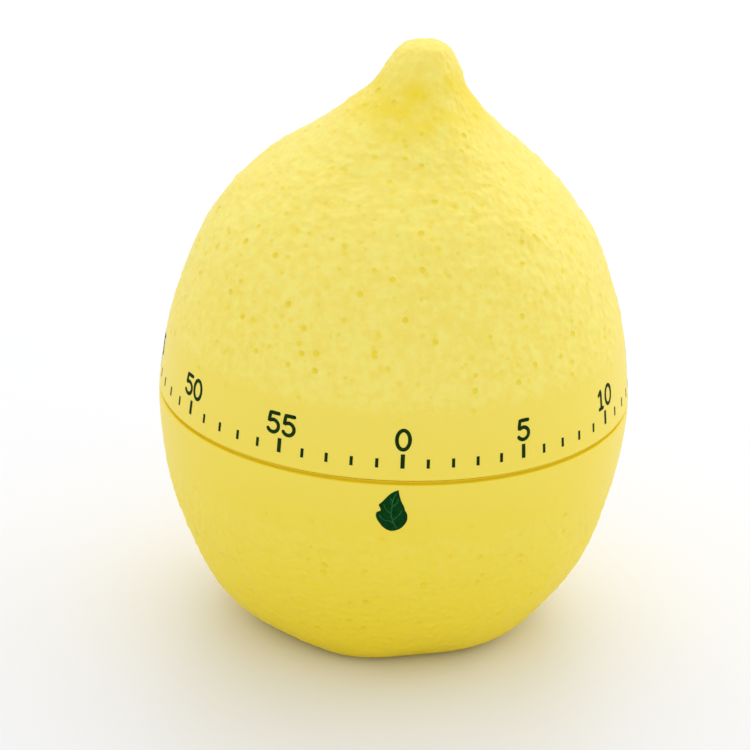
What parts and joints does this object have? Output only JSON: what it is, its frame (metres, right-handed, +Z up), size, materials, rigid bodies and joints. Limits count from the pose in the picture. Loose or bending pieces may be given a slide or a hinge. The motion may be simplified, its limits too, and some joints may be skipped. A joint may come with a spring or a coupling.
{
  "type": "kitchen timer",
  "caption": "Twist kitchen timer shaped like a lemon: the upper half is the dial, turned to wind a clockwork movement that strikes a bell in the base.",
  "frame": {"origin": "middle of the foot, on the table", "axes": "+Z up along the dial's axis, -Y towards the zero mark"},
  "size_m": [0.065, 0.065, 0.0842],
  "materials": {
    "lemon_plastic": "satin, moulded peel grain",
    "white_plastic": "moulded",
    "plate_steel": "pressed",
    "turned_steel": "turned",
    "spring_steel": "blued",
    "brass": "pressed",
    "bell_metal": "polished",
    "zinc_plate": "zinc plated"
  },
  "bodies": {
    "base": {"lower_shell": "lemon_plastic", "base_cover": "lemon_plastic", "base_screw_1": "zinc_plate", "base_screw_2": "zinc_plate", "base_screw_3": "zinc_plate", "bottom_plate": "plate_steel", "top_plate": "plate_steel", "pillar_1": "brass", "pillar_2": "brass", "pillar_3": "brass", "pillar_4": "brass", "plate_screw_1": "turned_steel", "plate_screw_2": "turned_steel", "plate_screw_3": "turned_steel", "plate_screw_4": "turned_steel", "movement_screw_1": "zinc_plate", "movement_screw_2": "zinc_plate", "movement_screw_3": "zinc_plate", "spring_post": "turned_steel", "detent_stud": "turned_steel", "detent_spring": "spring_steel", "bell": "bell_metal", "bell_post": "turned_steel", "bell_screw": "zinc_plate"},
    "dial": {"upper_shell": "lemon_plastic", "dial_carrier": "white_plastic", "carrier_screw_1": "zinc_plate", "carrier_screw_2": "zinc_plate", "carrier_screw_3": "zinc_plate", "main_arbor": "turned_steel", "mainspring": "spring_steel", "clutch_washer": "spring_steel", "clutch_collar": "turned_steel", "zero_cam": "plate_steel"},
    "great_wheel_set": {"great_wheel": "brass"},
    "second_wheel_set": {"second_arbor": "turned_steel", "second_wheel": "brass", "alarm_wheel": "plate_steel"},
    "third_wheel_set": {"third_arbor": "turned_steel", "third_wheel": "brass"},
    "escape_wheel_set": {"escape_arbor": "turned_steel", "escape_wheel": "brass"},
    "balance": {"balance_staff": "turned_steel", "balance_wheel": "brass", "pallet_fork": "plate_steel"},
    "hammer": {"hammer_arbor": "turned_steel", "hammer_arm": "spring_steel", "hammer_head": "brass", "hammer_finger": "plate_steel", "hammer_tail": "plate_steel"},
    "detent": {"detent_lever": "plate_steel"}
  },
  "joints": [
    {"name": "dial_turn", "type": "hinge", "parent": "base", "child": "dial", "pos_m": [0, 0, 0], "axis": [0, 0, -1], "range_deg": [0, 360], "deforming": ["mainspring"]},
    {"name": "great_wheel_turn", "type": "hinge", "parent": "base", "child": "great_wheel_set", "pos_m": [0, 0, 0], "axis": [0, 0, -1], "continuous": true},
    {"name": "second_wheel_turn", "type": "hinge", "parent": "base", "child": "second_wheel_set", "pos_m": [0.0135, 0, 0], "axis": [0, 0, -1], "continuous": true},
    {"name": "third_wheel_turn", "type": "hinge", "parent": "base", "child": "third_wheel_set", "pos_m": [0.01131, 0.00891, 0], "axis": [0, 0, -1], "continuous": true},
    {"name": "escape_wheel_turn", "type": "hinge", "parent": "base", "child": "escape_wheel_set", "pos_m": [0.00535, 0.01423, 0], "axis": [0, 0, -1], "continuous": true},
    {"name": "balance_swing", "type": "hinge", "parent": "base", "child": "balance", "pos_m": [-0.00093, 0.01467, 0], "axis": [0, 0, -1], "range_deg": [-12, 12]},
    {"name": "hammer_swing", "type": "hinge", "parent": "base", "child": "hammer", "pos_m": [0.01239, -0.00964, 0], "axis": [0, 0, -1], "range_deg": [-5, 8]},
    {"name": "detent_drop", "type": "hinge", "parent": "base", "child": "detent", "pos_m": [0.00308, -0.01448, 0], "axis": [0, 0, -1], "range_deg": [0, 7]}
  ],
  "couplings": [
    {"joint": "great_wheel_turn", "follows": "dial_turn", "ratio": 1},
    {"joint": "second_wheel_turn", "follows": "dial_turn", "ratio": -8},
    {"joint": "third_wheel_turn", "follows": "dial_turn", "ratio": 64},
    {"joint": "escape_wheel_turn", "follows": "dial_turn", "ratio": -384}
  ]
}
